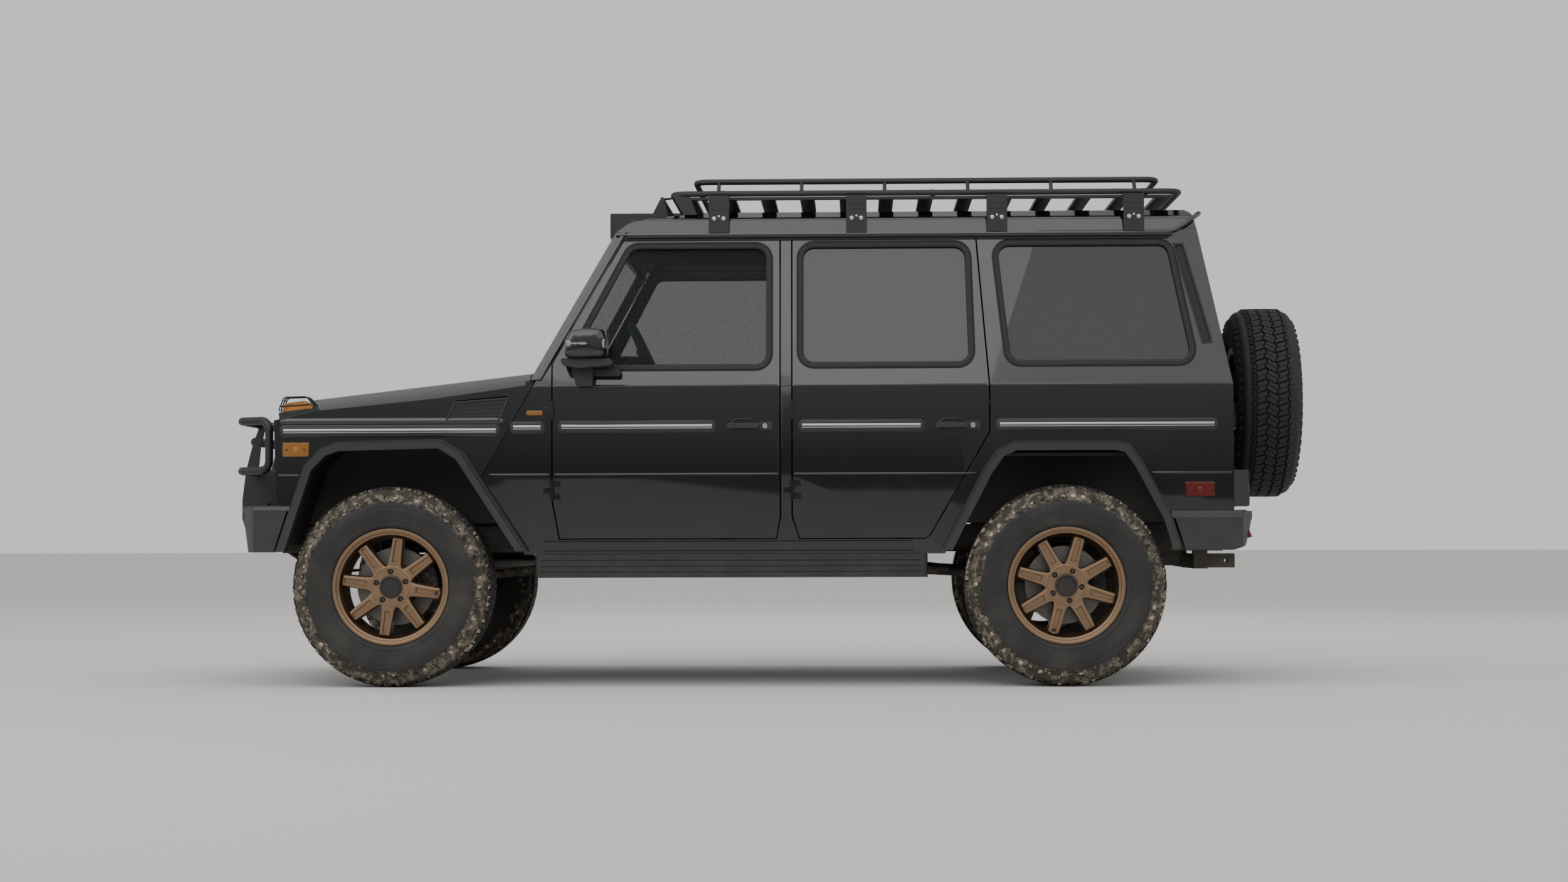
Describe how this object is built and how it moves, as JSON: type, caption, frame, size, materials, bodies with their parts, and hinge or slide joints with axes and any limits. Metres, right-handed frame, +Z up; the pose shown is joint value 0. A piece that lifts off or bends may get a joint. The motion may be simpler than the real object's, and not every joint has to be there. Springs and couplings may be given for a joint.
{
  "type": "lifted off-road 4x4",
  "caption": "Boxy long-wheelbase off-road 4x4 with raised suspension, all-terrain tyres, bull bar, roof rack and a spare wheel on its side-hinged rear door.",
  "frame": {"origin": "centre of the footprint on the ground", "axes": "+X forward, +Y to the vehicle's left, +Z up"},
  "size_m": [4.702, 2.02, 2.194],
  "materials": {
    "body_paint": "gloss black",
    "clear_glass": "clear",
    "tinted_glass": "dark tint",
    "black_plastic": "moulded, lightly grained",
    "tyre": "all-terrain, dusty",
    "bronze_rim": "satin bronze",
    "chassis": "semi-gloss black",
    "cast_parts": "dusty cast",
    "lamp": "moulded lens",
    "headlamp": "clear lens",
    "leather": "black hide",
    "dash": "soft grained",
    "rack_black": "powder coated",
    "bright_steel": "brushed"
  },
  "bodies": {
    "root": {"side_frame_left": "body_paint", "side_frame_right": "body_paint", "windscreen_frame": "body_paint", "windscreen": "clear_glass", "roof": "body_paint", "rear_frame": "body_paint", "quarter_glass": "tinted_glass", "signal_lamps": "lamp", "wind_deflector": "rack_black", "floor_pan": "chassis", "fenders": "body_paint", "front_panel": "black_plastic", "headlamps": "headlamp", "flares": "black_plastic", "ladder_frame": "chassis", "front_axle": "cast_parts", "rear_axle": "cast_parts", "springs": "chassis", "drivetrain": "cast_parts", "fuel_tank": "chassis", "exhaust": "bright_steel", "running_boards": "black_plastic", "front_bumper": "black_plastic", "rear_bumper": "black_plastic", "bull_bar": "rack_black", "tow_hitch": "chassis", "front_seats": "leather", "rear_bench": "leather", "dashboard": "dash", "roof_rack": "rack_black", "awning_case": "rack_black"},
    "door_front_left": {"door_front_left": "body_paint", "glass_front_left": "clear_glass", "mirror_left": "black_plastic"},
    "door_front_right": {"door_front_right": "body_paint", "glass_front_right": "clear_glass", "mirror_right": "black_plastic"},
    "door_rear_left": {"door_rear_left": "body_paint", "glass_rear_left": "tinted_glass"},
    "door_rear_right": {"door_rear_right": "body_paint", "glass_rear_right": "tinted_glass"},
    "tailgate": {"rear_door": "body_paint", "rear_glass": "tinted_glass", "spare_rim": "bronze_rim", "spare_tyre": "tyre"},
    "hood": {"hood": "body_paint"},
    "steering_wheel": {"steering_wheel": "leather"},
    "knuckle_left": {"knuckle_left": "cast_parts"},
    "knuckle_right": {"knuckle_right": "cast_parts"},
    "tie_rod": {"tie_rod": "cast_parts"},
    "wheel_front_left": {"rim_front_left": "bronze_rim", "tyre_front_left": "tyre"},
    "wheel_front_right": {"rim_front_right": "bronze_rim", "tyre_front_right": "tyre"},
    "wheel_rear_left": {"rim_rear_left": "bronze_rim", "tyre_rear_left": "tyre"},
    "wheel_rear_right": {"rim_rear_right": "bronze_rim", "tyre_rear_right": "tyre"}
  },
  "joints": [
    {"name": "front_left_door", "type": "hinge", "parent": "root", "child": "door_front_left", "pos_m": [0.9, 0.832, 1], "axis": [0, 0, -1], "range_deg": [0, 68]},
    {"name": "front_right_door", "type": "hinge", "parent": "root", "child": "door_front_right", "pos_m": [0.9, -0.832, 1], "axis": [0, 0, 1], "range_deg": [0, 68]},
    {"name": "rear_left_door", "type": "hinge", "parent": "root", "child": "door_rear_left", "pos_m": [-0.119, 0.832, 1], "axis": [0, 0, -1], "range_deg": [0, 70]},
    {"name": "rear_right_door", "type": "hinge", "parent": "root", "child": "door_rear_right", "pos_m": [-0.119, -0.832, 1], "axis": [0, 0, 1], "range_deg": [0, 70]},
    {"name": "tailgate_swing", "type": "hinge", "parent": "root", "child": "tailgate", "pos_m": [-1.993, -0.613, 1], "axis": [0, 0, 1], "range_deg": [0, 90]},
    {"name": "hood_lift", "type": "hinge", "parent": "root", "child": "hood", "pos_m": [1.017, 0, 1.336], "axis": [0, -1, 0], "range_deg": [0, 55]},
    {"name": "steer_left", "type": "hinge", "parent": "root", "child": "knuckle_left", "pos_m": [1.579, 0.655, 0.425], "axis": [0, 0, 1], "range_deg": [-28, 28]},
    {"name": "steer_right", "type": "hinge", "parent": "root", "child": "knuckle_right", "pos_m": [1.579, -0.655, 0.425], "axis": [0, 0, 1], "range_deg": [-28, 28]},
    {"name": "tie_rod_pivot", "type": "hinge", "parent": "knuckle_left", "child": "tie_rod", "pos_m": [1.354, 0.58, 0.395], "axis": [0, 0, 1], "range_deg": [-32, 32]},
    {"name": "steering_column", "type": "hinge", "parent": "root", "child": "steering_wheel", "pos_m": [0.523, 0.38, 1.404], "axis": [-0.9078, 0, 0.4195], "range_deg": [-420, 420]},
    {"name": "front_left_spin", "type": "hinge", "parent": "knuckle_left", "child": "wheel_front_left", "pos_m": [1.579, 0.746, 0.425], "axis": [0, 1, 0], "continuous": true},
    {"name": "front_right_spin", "type": "hinge", "parent": "knuckle_right", "child": "wheel_front_right", "pos_m": [1.579, -0.746, 0.425], "axis": [0, 1, 0], "continuous": true},
    {"name": "rear_left_spin", "type": "hinge", "parent": "root", "child": "wheel_rear_left", "pos_m": [-1.271, 0.746, 0.425], "axis": [0, 1, 0], "continuous": true},
    {"name": "rear_right_spin", "type": "hinge", "parent": "root", "child": "wheel_rear_right", "pos_m": [-1.271, -0.746, 0.425], "axis": [0, 1, 0], "continuous": true}
  ],
  "couplings": [
    {"joint": "steer_right", "follows": "steer_left", "ratio": 1},
    {"joint": "tie_rod_pivot", "follows": "steer_left", "ratio": -1.1224},
    {"joint": "steering_column", "follows": "steer_left", "ratio": 15}
  ]
}
